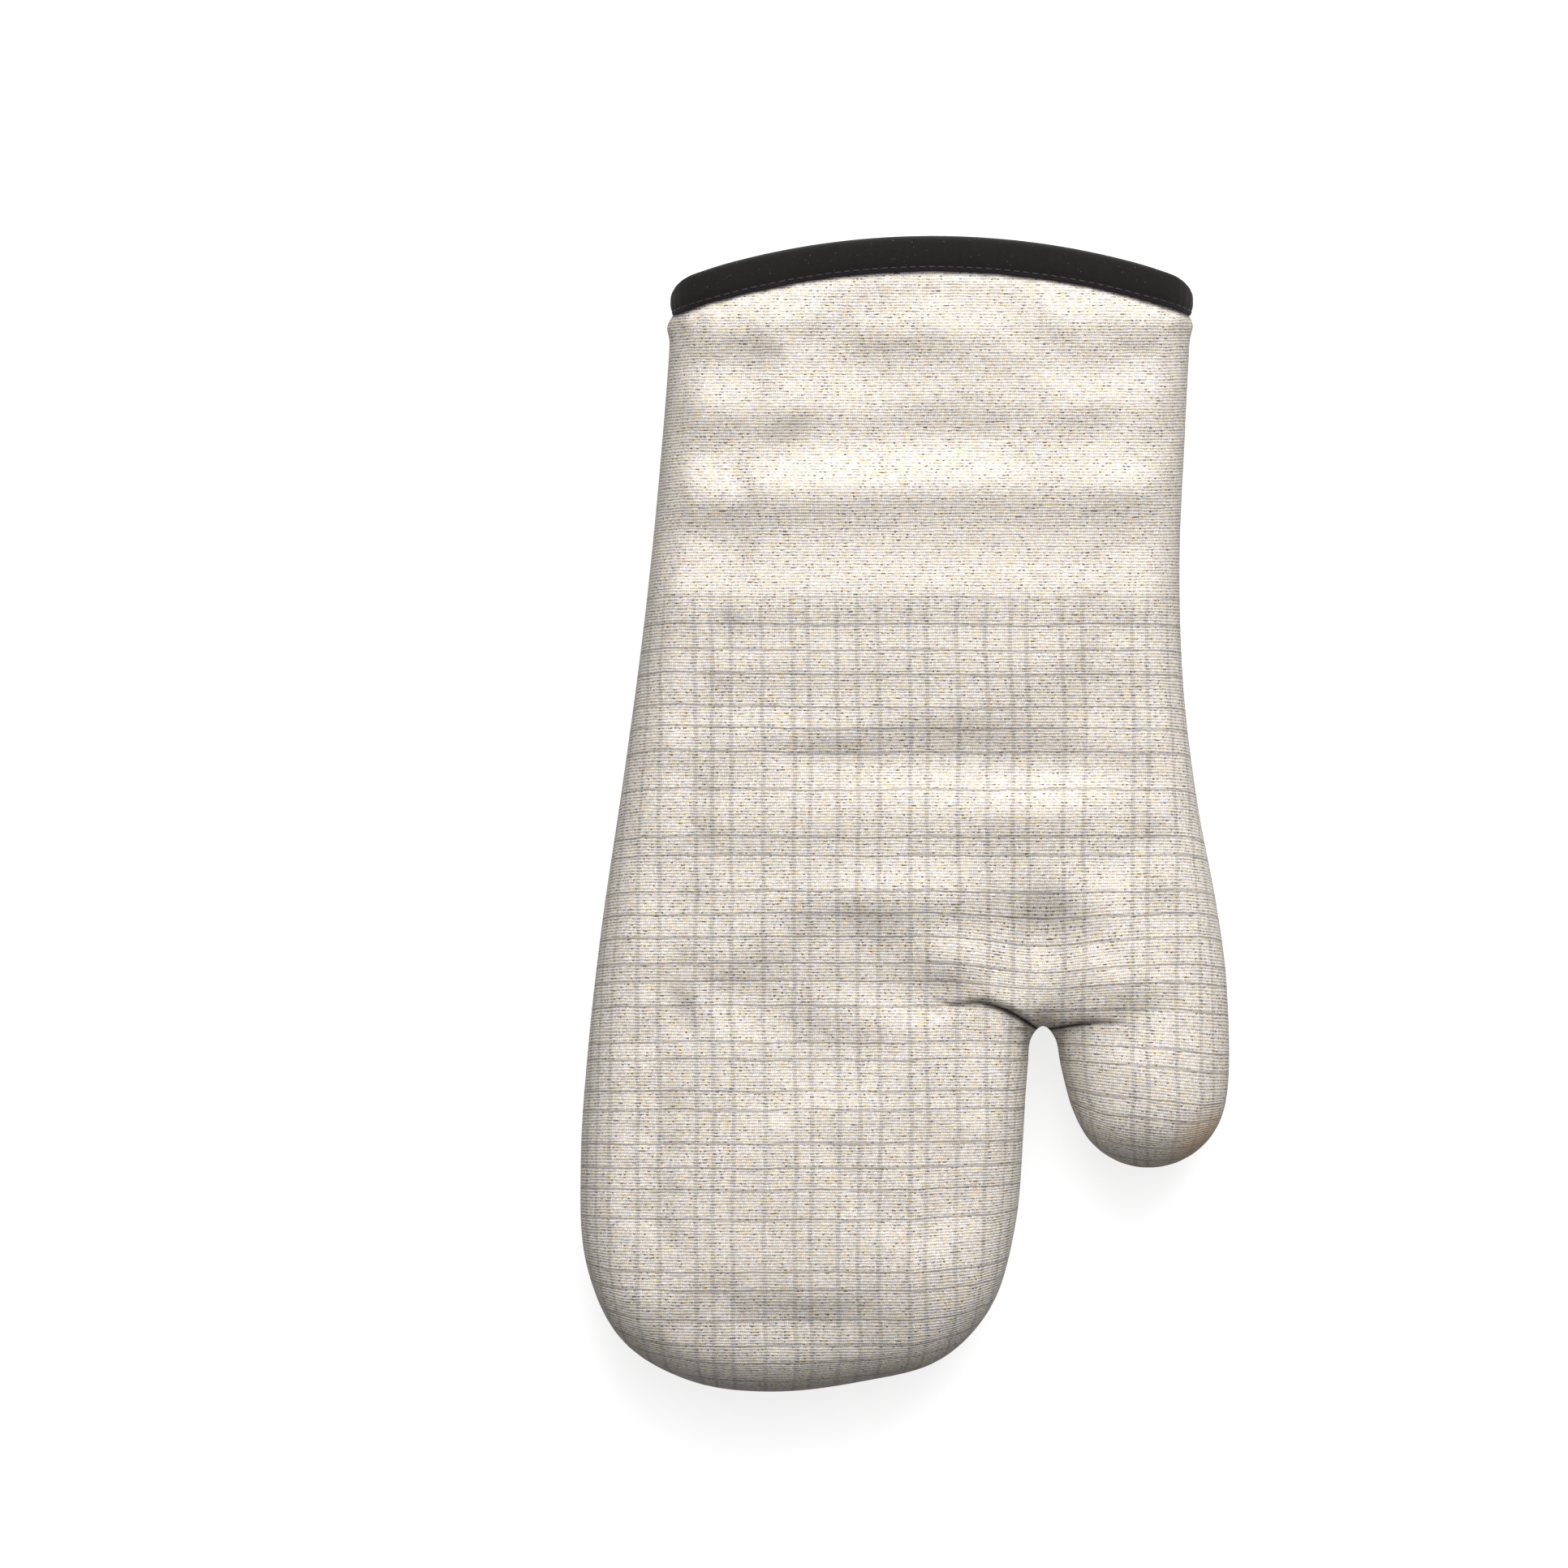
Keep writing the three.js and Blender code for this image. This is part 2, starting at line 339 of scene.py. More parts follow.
def points_of(mesh):
    co = np.empty(len(mesh.vertices) * 3)
    mesh.vertices.foreach_get("co", co)
    return co.reshape(-1, 3) / MM - SHIFT


def set_points(mesh, points_mm):
    mesh.vertices.foreach_set("co", ((np.asarray(points_mm) + SHIFT) * MM).ravel())
    mesh.update()


def normals_of(mesh):
    normals = np.empty(len(mesh.vertices) * 3)
    mesh.vertex_normals.foreach_get("vector", normals)
    return normals.reshape(-1, 3)


def baked(obj, name):
    """The object's evaluated mesh as plain data; the object is removed."""
    bpy.context.view_layer.update()
    graph = bpy.context.evaluated_depsgraph_get()
    mesh = bpy.data.meshes.new_from_object(obj.evaluated_get(graph))
    mesh.name = name
    bpy.data.objects.remove(obj)
    return mesh


def mitt_blank():
    """Both panels as one closed mesh that shares the seam. Faces of the back carry material index 1."""
    plan, triangles, on_seam = panel()
    count = len(plan)
    front_z = np.where(on_seam, SEAM_Z, surface(plan, True))
    back_z = np.where(on_seam, SEAM_Z, surface(plan, False))
    twin = np.arange(count)
    free = np.flatnonzero(~on_seam)
    twin[free] = count + np.arange(len(free))
    points = np.vstack([np.column_stack([plan, front_z]), np.column_stack([plan[free], back_z[free]])])
    back = [(int(twin[c]), int(twin[b]), int(twin[a])) for a, b, c in triangles]
    mesh = make_mesh("mitt_blank", points, triangles + back)
    mesh.polygons.foreach_set("material_index", [0] * len(triangles) + [1] * len(back))
    return mesh


CLOTH_PRESSURE = 3.5
CLOTH_GROWTH = -0.024
CLOTH_FRAMES = 18
MOST_MOVE = 2.6


def inflate(mesh):
    """Cloth simulation: the seam, the cuff and the back stay, and the front swells between them."""
    start = points_of(mesh)
    inside, _ = edge_distance(start[:, :2])
    free = smoothstep(1, 28, inside) * (start[:, 2] > SEAM_Z)
    free *= smoothstep(TAPE_WIDTH, TAPE_WIDTH + 12, cuff_arc(start[:, 0]) - start[:, 1])
    _, near_crease = crease_distance(start[:, :2])
    free *= smoothstep(1, 9, near_crease)
    obj = link("inflating", mesh)
    pin = obj.vertex_groups.new(name="pin")
    for i, weight in enumerate(1 - free):
        pin.add([i], float(weight), "REPLACE")
    cloth = obj.modifiers.new("cloth", "CLOTH")
    settings = cloth.settings
    settings.quality = 6
    settings.mass = 0.35
    settings.tension_stiffness = 14
    settings.compression_stiffness = 14
    settings.shear_stiffness = 8
    settings.bending_stiffness = 3
    settings.air_damping = 4
    settings.use_pressure = True
    settings.uniform_pressure_force = CLOTH_PRESSURE
    settings.shrink_min = CLOTH_GROWTH
    settings.vertex_group_mass = "pin"
    settings.pin_stiffness = 1.0
    settings.effector_weights.gravity = 0
    cloth.collision_settings.use_self_collision = False
    scene = bpy.context.scene
    for step in range(1, CLOTH_FRAMES + 1):
        scene.frame_set(step)
    graph = bpy.context.evaluated_depsgraph_get()
    moved = obj.evaluated_get(graph).to_mesh()
    end = points_of(moved)
    obj.evaluated_get(graph).to_mesh_clear()
    move = end - start
    size = np.linalg.norm(move, axis=1)
    move *= (np.minimum(size, MOST_MOVE) / np.maximum(size, 1e-9) * free)[:, None]
    print("inflate: moved up to", round(float(size.max()), 2), "mm, kept", round(float(np.abs(move).max()), 2))
    obj.modifiers.remove(cloth)
    bpy.data.objects.remove(obj)
    scene.frame_set(1)
    set_points(mesh, start + move)
    return mesh


def subdivided(mesh, levels, name):
    obj = link(name, mesh)
    modifier = obj.modifiers.new("subdivide", "SUBSURF")
    modifier.levels = levels
    modifier.render_levels = levels
    return baked(obj, name)


def finish_cover(mesh):
    """Detail that is finer than the simulation: the folds, the seam's groove, the crotch creases, the bound edge."""
    p = points_of(mesh)
    normals = normals_of(mesh)
    x, y, z = p.T
    inside, out = edge_distance(p[:, :2])
    before_edge = cuff_arc(x) - y
    near_seam = np.exp(-((z - SEAM_Z) / 1.1) ** 2) * (inside < 6)
    run = np.arctan2(y, x) * 90
    from_crotch = np.hypot(x - CROTCH[0], y - CROTCH[1])
    groove = near_seam * (1.5 + 0.3 * np.sin(run * 2 * math.pi / 3.4)) * smoothstep(1, 9, from_crotch)
    groove -= 0.55 * smoothstep(6, 0, inside) * smoothstep(2, 12, from_crotch)
    fine = np.where(inside > 2, 0.08 * wave(x, y, 5.5, 11.0) + 0.14 * wave(x, y, 12, 17.0), 0)
    under_tape = -0.9 * smoothstep(TAPE_WIDTH + 1.6, TAPE_WIDTH - 0.8, before_edge)
    ripple = 0.75 + 0.4 * np.sin(x * 2 * math.pi / 6.3 + 2 * wave(x, y, 15, 5.0))
    swell = 0.9 * ripple * np.exp(-((before_edge - TAPE_WIDTH - 3.2) / 2.4) ** 2)
    front = (z > SEAM_Z) * smoothstep(0.6, 12, inside)
    quiet = smoothstep(TAPE_WIDTH, TAPE_WIDTH + 7, before_edge)
    near_crotch = smoothstep(1, 14, z - SEAM_Z)
    p += normals * (fine + under_tape + swell * (before_edge > 0))[:, None]
    lift, shade = crease_height(x, y)
    p[:, 2] += fold_height(x, y) * front * quiet + lift * near_crotch
    shade *= smoothstep(-0.5, 2, z - SEAM_Z)
    # painted shade: a thin darker band along the seam's groove, stored with the creases' painted shade
    seam = 0.6 * np.exp(-((z - SEAM_Z) / 0.8) ** 2) * (inside < 6) * (before_edge > 0)
    store(mesh, "shade", np.column_stack([np.maximum(shade, seam), shade, seam]))
    p[:, :2] -= out * groove[:, None]
    set_points(mesh, p)
    return mesh


# ---- cutting the closed mitt into its pieces ----
def straighten(points, sign):
    """Shift along y so that the cuff's arc becomes the straight line through its crown, or back."""
    points[:, 1] += sign * (CUFF_CROWN[1] - cuff_arc(np.clip(points[:, 0], -120, 130)))
    return points


def cut(mesh, point, normal, keep_all=True, only=None):
    """Cut new edges along a plane; without `keep_all`, what lies past it goes. `only` picks faces by centre."""
    work = bmesh.new()
    work.from_mesh(mesh)
    faces = [f for f in work.faces if only is None or only(f.calc_center_median() / MM - Vector(SHIFT))]
    edges = list({e for f in faces for e in f.edges})
    verts = list({v for f in faces for v in f.verts})
    bmesh.ops.bisect_plane(work, geom=verts + edges + faces, plane_co=Vector(SHIFT + point) * MM,
                           plane_no=Vector(normal), clear_outer=not keep_all, dist=1e-7)
    work.to_mesh(mesh)
    work.free()
    mesh.update()


def cut_cuff(mesh, short):
    """End the mitt along the cuff's arc, `short` before its edge."""
    set_points(mesh, straighten(points_of(mesh), 1))
    cut(mesh, (0, CUFF_CROWN[1] - short, 0), (0, 1, 0), keep_all=False)
    set_points(mesh, straighten(points_of(mesh), -1))


def thumb_reach(points):
    """How far each point lies past the line through the crotch where the thumb begins."""
    return (points[:, 0] - CROTCH[0]) * THUMB_OUTWARD[0] + (points[:, 1] - CROTCH[1]) * THUMB_OUTWARD[1]


def cut_thumb(mesh):
    """Cut along the line through the crotch, on the thumb's side of it only."""
    cut(mesh, (*CROTCH, 0), (*THUMB_OUTWARD, 0), only=lambda c: c.x > CROTCH[0] - 0.6)


def centres_of(mesh):
    centres = np.empty(len(mesh.polygons) * 3)
    mesh.polygons.foreach_get("center", centres)
    return centres.reshape(-1, 3) / MM - SHIFT


def in_thumb(mesh):
    centres = centres_of(mesh)
    return (thumb_reach(centres) > 0) & (centres[:, 0] > CROTCH[0] - 0.3)


def shell(name, mesh, chosen, thickness):
    """The chosen faces as a closed sheet, `thickness` thick on the inner side, shaded like the uncut mitt."""
    points = points_of(mesh)
    normals = normals_of(mesh)
    faces = [tuple(mesh.polygons[i].vertices) for i in np.flatnonzero(chosen)]
    used = np.unique([v for f in faces for v in f])
    index = np.full(len(points), -1)
    index[used] = np.arange(len(used))
    outer = [tuple(int(index[v]) for v in f) for f in faces]
    count = len(used)
    directed = {(f[i], f[(i + 1) % len(f)]) for f in outer for i in range(len(f))}
    rim = [(b, a, a + count, b + count) for a, b in directed if (b, a) not in directed]
    inner = [tuple(v + count for v in reversed(f)) for f in outer]
    both = np.vstack([points[used], points[used] - normals[used] * thickness])
    piece = make_mesh(name, both, outer + inner + rim)
    piece.polygons.foreach_set("use_smooth", [True] * len(piece.polygons))
    shading = np.vstack([normals[used], -normals[used]])
    piece.normals_split_custom_set_from_vertices(shading.tolist())
    for label in ("cloth", "shade"):
        if label in mesh.attributes:
            values = np.empty(len(points) * 3)
            mesh.attributes[label].data.foreach_get("vector", values)
            values = values.reshape(-1, 3)[used]
            store(piece, label, np.vstack([values, values]))
    return link(name, piece)


def store(mesh, label, values):
    attribute = mesh.attributes.new(label, "FLOAT_VECTOR", "POINT")
    attribute.data.foreach_set("vector", np.asarray(values, np.float32).ravel())


def run_table(height):
    """Along the rolled edge, from the seam to the flat: share inwards, share of height, and length left to go."""
    e = 1 - np.linspace(1, 0, 200) ** 2
    share = edge_roll(e)
    step = np.hypot(np.diff(e) * EDGE_ROUND, np.diff(share) * height)
    return e, share, np.concatenate([np.cumsum(step[::-1])[::-1], [0]])


def cloth_plan(points):
    """Where each point lay on the flat cut panel, in millimetres, so that the weave follows the cloth."""
    x, y, z = points.T
    inside, out = edge_distance(points[:, :2])
    e = np.clip(inside / EDGE_ROUND, 0, 1)
    run = np.empty(len(points))
    for side, height in ((z > SEAM_Z, FRONT_RISE * 0.95), (z <= SEAM_Z, BACK_DROP)):
        at, share, left = run_table(height)
        by_distance = np.interp(e[side], at, left)
        by_height = np.interp(np.abs(z[side] - SEAM_Z) / height, share, left)
        run[side] = by_height + (by_distance - by_height) * smoothstep(0.08, 0.5, e[side])
    spare = (run - EDGE_ROUND * (1 - e)) * smoothstep(1, 0.6, e)
    spare *= smoothstep(3, 26, np.hypot(x - CROTCH[0], y - CROTCH[1]))
    u, v = (points[:, :2] + out * spare[:, None]).T
    v = v - 0.075 * np.clip(x - 2, 0, 30) * smoothstep(-80, -135, y) * (x < 40)
    v = v + 0.13 * np.clip(x - 50, 0, 60) * smoothstep(-30, -95, y)
    v = v + 3.0 * np.exp(-((x - 39) / 18) ** 2 - ((y + 42) / 16) ** 2)
    return np.column_stack([u, v, np.where(z > SEAM_Z, 0.0, 1.0)])


# ---- the cuff's binding and its stitching ----
STITCH_PITCH = 2.7
SECTION_STEP = 0.9


def cuff_section():
    """Points round the mitt's section at the cuff, each with its outward direction, anticlockwise."""
    right, left = CUFF_SIDES
    turns = np.radians(np.linspace(0, 90, 12, endpoint=False))
    roll_in = EDGE_ROUND * (1 - np.cos(turns))
    flat = np.linspace(right - EDGE_ROUND, left + EDGE_ROUND, 60)
    xs = np.concatenate([right - roll_in, flat, left + roll_in[::-1]])
    plan = np.column_stack([xs, cuff_arc(xs) - TAPE_WIDTH / 2])
    top = surface(plan, True)
    bottom = surface(plan, False)
    top[[0, -1]] = SEAM_Z
    loop = np.vstack([np.column_stack([xs, top]), np.column_stack([xs, bottom])[::-1][1:-1]])
    loop = spaced(loop, SECTION_STEP)
    tangent = np.roll(loop, -1, axis=0) - np.roll(loop, 1, axis=0)
    tangent /= np.linalg.norm(tangent, axis=1)[:, None]
    outward = np.column_stack([tangent[:, 1], -tangent[:, 0]])
    for _ in range(6):
        outward = (np.roll(outward, 1, axis=0) + outward + np.roll(outward, -1, axis=0)) / 3
    outward /= np.linalg.norm(outward, axis=1)[:, None]
    return loop, outward


def place_on_cuff(loop, outward, behind, lift):
    """Points `behind` the cuff's edge and `lift` above the cover, all round the section."""
    x = loop[:, 0] + outward[:, 0] * lift
    z = loop[:, 1] + outward[:, 1] * lift
    past = np.clip(TAPE_CORNER - np.minimum(loop[:, 0].max() - loop[:, 0], loop[:, 0] - loop[:, 0].min()), 0, None)
    rounded = TAPE_CORNER - np.sqrt(TAPE_CORNER ** 2 - past ** 2)
    return np.column_stack([x, cuff_arc(loop[:, 0]) - behind - 0.8 * rounded * (1 - behind / TAPE_WIDTH), z])


def tape_profile():
    """The tape's closed section as (behind the edge, lift): out along the outside, back along the inside."""
    width = TAPE_WIDTH
    inner = -WALL - 0.4
    outside = [(width, 0.15), (width + 0.1, 0.8), (width - 0.5, 1.1), (width - 1.3, 0.85), (width - 2.3, 1.3),
               (width - 4, 1.55), (width - 6.5, 1.6), (1.6, 1.45)]
    middle = (1.5 + inner) / 2
    reach = (1.45 - inner) / 2
    turns = np.radians(np.linspace(65, -65, 9))
    edge = [(1.5 - 1.5 * math.cos(t), middle + reach * math.sin(t)) for t in turns]
    inside = [(1.6, inner - 1.0), (width - 5, inner - 1.3), (width - 2.3, inner - 1.1), (width - 1.3, inner - 0.8),
              (width - 0.4, inner - 0.9), (width, inner - 0.2)]
    back = [(width - 2, inner), (2.6, inner + 0.2), (2.2, middle), (2.6, 0.1), (width - 2, 0.1)]
    return outside + edge + inside + back


def add_binding():
    """The folded tape round the cuff, and the section that its stitches follow."""
    loop, outward = cuff_section()
    count = len(loop)
    run = np.arange(count) * SECTION_STEP
    pucker = np.sin(run * 2 * math.pi / STITCH_PITCH)
    slow = wave(run, np.zeros(count), 9, 21.0)
    profile = tape_profile()
    rings = []
    plan = []
    length = 0.0
    for i, (behind, lift) in enumerate(profile):
        outer_face = lift > 0.5
        ripple = (0.10 * pucker + 0.22 * slow) * (1 if outer_face else 0.3)
        wander = 0.35 * slow * (behind > 5)
        rings.append(place_on_cuff(loop, outward, behind + wander, lift + ripple))
        if i:
            length += math.dist(profile[i], profile[i - 1])
        plan.append(np.column_stack([run, np.full(count, length), np.zeros(count)]))
    points = np.vstack(rings)
    faces = []
    total = len(profile)
    for i in range(total):
        a, b = i * count, ((i + 1) % total) * count
        for j in range(count):
            k = (j + 1) % count
            faces.append((a + j, b + j, b + k, a + k))
    mesh = make_mesh("binding", points, faces)
    store(mesh, "cloth", np.vstack(plan))
    mesh.polygons.foreach_set("use_smooth", [True] * len(faces))
    binding = link("cuff_bias_binding", subdivided(mesh, 1, "cuff_bias_binding"))
    fix_winding(binding.data)
    return binding, loop, outward


def fix_winding(mesh):
    work = bmesh.new()
    work.from_mesh(mesh)
    bmesh.ops.recalc_face_normals(work, faces=work.faces)
    work.to_mesh(mesh)
    work.free()
    mesh.update()


def capsule(length, width, height):
    """A short rounded thread lying along x: points and faces."""
    rings = [(-0.5, 0.0), (-0.46, 0.55), (-0.3, 0.92), (0.0, 1.0), (0.3, 0.92), (0.46, 0.55), (0.5, 0.0)]
    sides = 8
    points = [(-0.5 * length, 0, 0)]
    for at, scale in rings[1:-1]:
        for k in range(sides):
            turn = 2 * math.pi * k / sides
            points.append((at * length, scale * width / 2 * math.cos(turn), scale * height / 2 * math.sin(turn)))
    points.append((0.5 * length, 0, 0))
    faces = [(0, 1 + (k + 1) % sides, 1 + k) for k in range(sides)]
    for r in range(len(rings) - 3):
        low = 1 + r * sides
        for k in range(sides):
            n = (k + 1) % sides
            faces.append((low + k, low + n, low + sides + n, low + sides + k))
    last = len(points) - 1
    low = last - sides
    faces += [(last, low + k, low + (k + 1) % sides) for k in range(sides)]
    return np.array(points), faces


def add_stitches(name, loop, outward, behind, lift, flip):
    """A row of thread stitches all round the cuff."""
    row = place_on_cuff(loop, outward, behind, lift)
    closed = np.vstack([row, row[:1]])
    run = np.concatenate([[0], np.cumsum(np.linalg.norm(np.diff(closed, axis=0), axis=1))])
    count = int(round(run[-1] / STITCH_PITCH))
    shape, faces = capsule(STITCH_PITCH * 0.74, 0.55, 0.5)
    points, all_faces = [], []
    for i in range(count):
        at = (i + 0.5) * run[-1] / count
        j = min(int(np.searchsorted(run, at)) - 1, len(row) - 1)
        share = (at - run[j]) / (run[j + 1] - run[j])
        centre = closed[j] * (1 - share) + closed[j + 1] * share
        along = closed[j + 1] - closed[j]
        along /= np.linalg.norm(along)
        up = np.array([outward[j][0], 0.0, outward[j][1]]) * flip
        up -= along * (up @ along)
        up /= np.linalg.norm(up)
        side = np.cross(up, along)
        base = len(points) * len(shape)
        points.append(centre + shape[:, :1] * along + shape[:, 1:2] * side + shape[:, 2:] * up)
        all_faces += [tuple(v + base for v in f) for f in faces]
    mesh = make_mesh(name, np.vstack(points), all_faces)
    mesh.polygons.foreach_set("use_smooth", [True] * len(all_faces))
    obj = link(name, mesh)
    fix_winding(obj.data)
    return obj


# ---- materials ----
def linear(r, g, b):
    """An sRGB colour, 0 to 255, as the linear RGBA that shaders use."""
    c = [v / 255 for v in (r, g, b)]
    c = [v / 12.92 if v <= 0.04045 else ((v + 0.055) / 1.055) ** 2.4 for v in c]
    return (*c, 1.0)


class Graph:
    """Short calls for a material's nodes. A value is a socket or a number."""

    def __init__(self, name):
        self.material = bpy.data.materials.new(name)
        self.material.use_nodes = True
        self.nodes = self.material.node_tree.nodes
        self.links = self.material.node_tree.links
        self.shader = self.nodes["Principled BSDF"]

    def feed(self, socket, value):
        if isinstance(value, bpy.types.NodeSocket):
            self.links.new(value, socket)
        else:
            socket.default_value = value

    def math(self, operation, a, b=0.0, c=0.0, clamp=False):
        node = self.nodes.new("ShaderNodeMath")
        node.operation = operation
        node.use_clamp = clamp
        for socket, value in zip(node.inputs, (a, b, c)):
            self.feed(socket, value)
        return node.outputs[0]

    def add(self, a, b):
        return self.math("ADD", a, b)

    def mul(self, a, b):
        return self.math("MULTIPLY", a, b)

    def sub(self, a, b):
        return self.math("SUBTRACT", a, b)

    def step(self, value, low, high):
        node = self.nodes.new("ShaderNodeMapRange")
        node.interpolation_type = "SMOOTHSTEP"
        self.feed(node.inputs["Value"], value)
        node.inputs["From Min"].default_value = low
        node.inputs["From Max"].default_value = high
        return node.outputs["Result"]

    def mix(self, share, a, b):
        node = self.nodes.new("ShaderNodeMix")
        node.data_type = "RGBA"
        self.feed(node.inputs["Factor"], share)
        self.feed(node.inputs[6], a)
        self.feed(node.inputs[7], b)
        return node.outputs[2]

    def vector(self, x, y=0.0, z=0.0):
        node = self.nodes.new("ShaderNodeCombineXYZ")
        for socket, value in zip(node.inputs, (x, y, z)):
            self.feed(socket, value)
        return node.outputs[0]

    def plan(self, label="cloth"):
        """The cloth's own flat coordinates u and v, in millimetres, and its side."""
        node = self.nodes.new("ShaderNodeAttribute")
        node.attribute_name = label
        split = self.nodes.new("ShaderNodeSeparateXYZ")
        self.links.new(node.outputs["Vector"], split.inputs[0])
        return split.outputs[0], split.outputs[1], split.outputs[2]

    def noise(self, vector, scale, detail=2.0):
        node = self.nodes.new("ShaderNodeTexNoise")
        self.links.new(vector, node.inputs["Vector"])
        node.inputs["Scale"].default_value = scale
        node.inputs["Detail"].default_value = detail
        return node.outputs["Fac"]

    def random(self, vector):
        node = self.nodes.new("ShaderNodeTexWhiteNoise")
        node.noise_dimensions = "3D"
        self.links.new(vector, node.inputs["Vector"])
        return node.outputs["Value"]

    def cosine(self, cycles):
        """0 to 1 and back once for each whole cycle, 1 at whole numbers."""
        return self.add(self.mul(self.math("COSINE", self.mul(cycles, 2 * math.pi)), 0.5), 0.5)

    def bump(self, height, distance, strength=1.0):
        node = self.nodes.new("ShaderNodeBump")
        self.links.new(height, node.inputs["Height"])
        node.inputs["Distance"].default_value = distance
        node.inputs["Strength"].default_value = strength
        self.links.new(node.outputs[0], self.shader.inputs["Normal"])

    def finish(self, colour, roughness, sheen, sheen_roughness=0.4, specular=0.25):
        self.feed(self.shader.inputs["Base Color"], colour)
        self.feed(self.shader.inputs["Roughness"], roughness)
        self.shader.inputs["Sheen Weight"].default_value = sheen
        self.shader.inputs["Sheen Roughness"].default_value = sheen_roughness
        self.shader.inputs["Specular IOR Level"].default_value = specular
        return self.material


def drawn_lines(g, across, along, pitch, width, seed, missing):
    """Hand-drawn lines at uneven steps of `across`: 1 on a line and 0 between."""
    drift = g.noise(g.vector(g.mul(along, 0.028), g.mul(across, 0.012), seed), 1.0)
    shaken = g.noise(g.vector(g.mul(along, 0.22), g.mul(across, 0.05), seed + 4), 1.0)
    place = g.add(across, g.add(g.mul(drift, 3.4), g.mul(shaken, 0.7)))
    place = g.math("DIVIDE", place, pitch)
    row = g.math("FLOOR", place)
    jitter = g.mul(g.sub(g.random(g.vector(row, seed)), 0.5), 0.62)
    gap = g.math("ABSOLUTE", g.sub(g.sub(g.math("FRACT", place), 0.5), jitter))
    line = g.sub(1.0, g.step(g.mul(gap, pitch), width * 0.25, width * 0.75))
    present = g.math("GREATER_THAN", g.random(g.vector(row, seed, 5.0)), missing)
    return g.mul(line, present)


RIB_PITCH = 0.85
BEAD_PITCH = 0.62
CHECK_PITCH = (7.3, 7.0)
CHECK_END = (62.0, 78.0)  # where the drawn check fades out, towards the cuff


def canvas():
    """Ribbed cream canvas with golden and dark flecks and a thin hand-drawn check that stops at the cuff."""
    g = Graph("ribbed_canvas")
    u, v, side = g.plan()
    sway = g.noise(g.vector(g.mul(u, 0.09), g.mul(v, 0.3), side), 1.0)
    nudge = g.noise(g.vector(g.mul(u, 0.9), g.mul(v, 0.9), side), 1.0)
    ribs = g.math("DIVIDE", g.add(v, g.add(g.mul(sway, 0.7), g.mul(nudge, 0.42))), RIB_PITCH)
    crest = g.cosine(ribs)
    rib = g.math("FLOOR", g.add(ribs, 0.5))
    valley = g.math("FLOOR", ribs)
    beads = g.add(g.math("DIVIDE", u, BEAD_PITCH), g.mul(g.random(g.vector(rib, 2.0, side)), 1.0))
    bead = g.cosine(beads)
    bead_chance = g.random(g.vector(rib, g.math("FLOOR", g.add(beads, 0.5)), side))
    dashes = g.add(g.math("DIVIDE", u, 0.6), g.mul(g.random(g.vector(valley, 6.0, side)), 9.0))
    dash_chance = g.random(g.vector(valley, g.math("FLOOR", dashes), g.add(side, 3.0)))
    low = g.sub(1.0, g.step(crest, 0.12, 0.62))
    cloud = g.noise(g.vector(g.mul(u, 0.018), g.mul(v, 0.075), 8.0), 1.0, 3.0)
    patch = g.noise(g.vector(g.mul(u, 0.22), g.mul(v, 0.3), 3.0), 1.0, 3.0)
    warm = g.noise(g.vector(g.mul(u, 0.55), g.mul(v, 0.9), 14.0), 1.0, 2.0)
    cool = g.noise(g.vector(g.mul(u, 0.5), g.mul(v, 0.7), 27.0), 1.0, 2.0)
    yarn = g.mix(bead_chance, linear(212, 206, 200), linear(242, 237, 232))
    yarn = g.mix(g.mul(g.step(warm, 0.48, 0.7), 0.7), yarn, linear(236, 216, 166))
    yarn = g.mix(g.mul(g.step(cool, 0.48, 0.7), 0.65), yarn, linear(206, 205, 216))
    # partly the weave's own colour, partly painted shade: the gaps between beads and the valleys between ribs are
    # darker
    yarn = g.mix(g.mul(g.sub(1.0, bead), 0.3), yarn, linear(158, 149, 138))
    uneven = g.math("POWER", dash_chance, 1.6)
    depth = g.mul(g.add(0.15, g.mul(uneven, 0.75)), g.add(0.35, g.mul(patch, 1.1)))
    colour = g.mix(g.mul(low, depth), yarn, linear(112, 102, 90))
    gold = g.mul(g.math("GREATER_THAN", bead_chance, 0.92), g.mul(g.sub(1.0, low), 0.6))
    colour = g.mix(gold, colour, linear(224, 192, 112))
    dark = g.mul(g.math("GREATER_THAN", dash_chance, 0.94), g.mul(low, 0.72))
    colour = g.mix(dark, colour, linear(70, 60, 52))
    printed = g.sub(1.0, g.step(g.add(v, g.mul(patch, 14.0)), *CHECK_END))
    across = g.mul(drawn_lines(g, v, u, CHECK_PITCH[0], 0.62, 11.0, 0.06), 0.5)
    down = g.mul(drawn_lines(g, u, v, CHECK_PITCH[1], 1.25, 47.0, 0.05), g.add(0.16, g.mul(low, 0.34)))
    drawn = g.mul(g.math("MAXIMUM", across, down), g.mul(printed, g.add(0.7, g.mul(patch, 0.6))))
    colour = g.mix(drawn, colour, linear(98, 99, 100))
    colour = g.mix(g.mul(g.step(cloud, 0.42, 0.7), 0.14), colour, linear(176, 168, 156))
    # a tan tint round one spot at the thumb's tip, fading out between 6 and 20 mm from it
    tan_spot_distance = g.math("SQRT", g.add(g.math("POWER", g.sub(u, 92.0), 2.0), g.math("POWER", g.add(v, 96.0), 2.0)))
    colour = g.mix(g.mul(g.sub(1.0, g.step(tan_spot_distance, 6.0, 20.0)), 0.45), colour, linear(206, 162, 104))
    # painted shade: the stored 'shade' attribute darkens the colour in the creases and along the seam's groove
    painted_crease_seam_shade, _, _ = g.plan("shade")
    colour = g.mix(g.mul(painted_crease_seam_shade, 0.85), colour, linear(52, 44, 38))
    height = g.add(g.mul(crest, 0.75), g.mul(g.mul(bead, crest), 0.25))
    g.bump(height, 0.14 * MM, 0.7)
    return g.finish(colour, 0.92, 0.08, 0.5, 0.15)


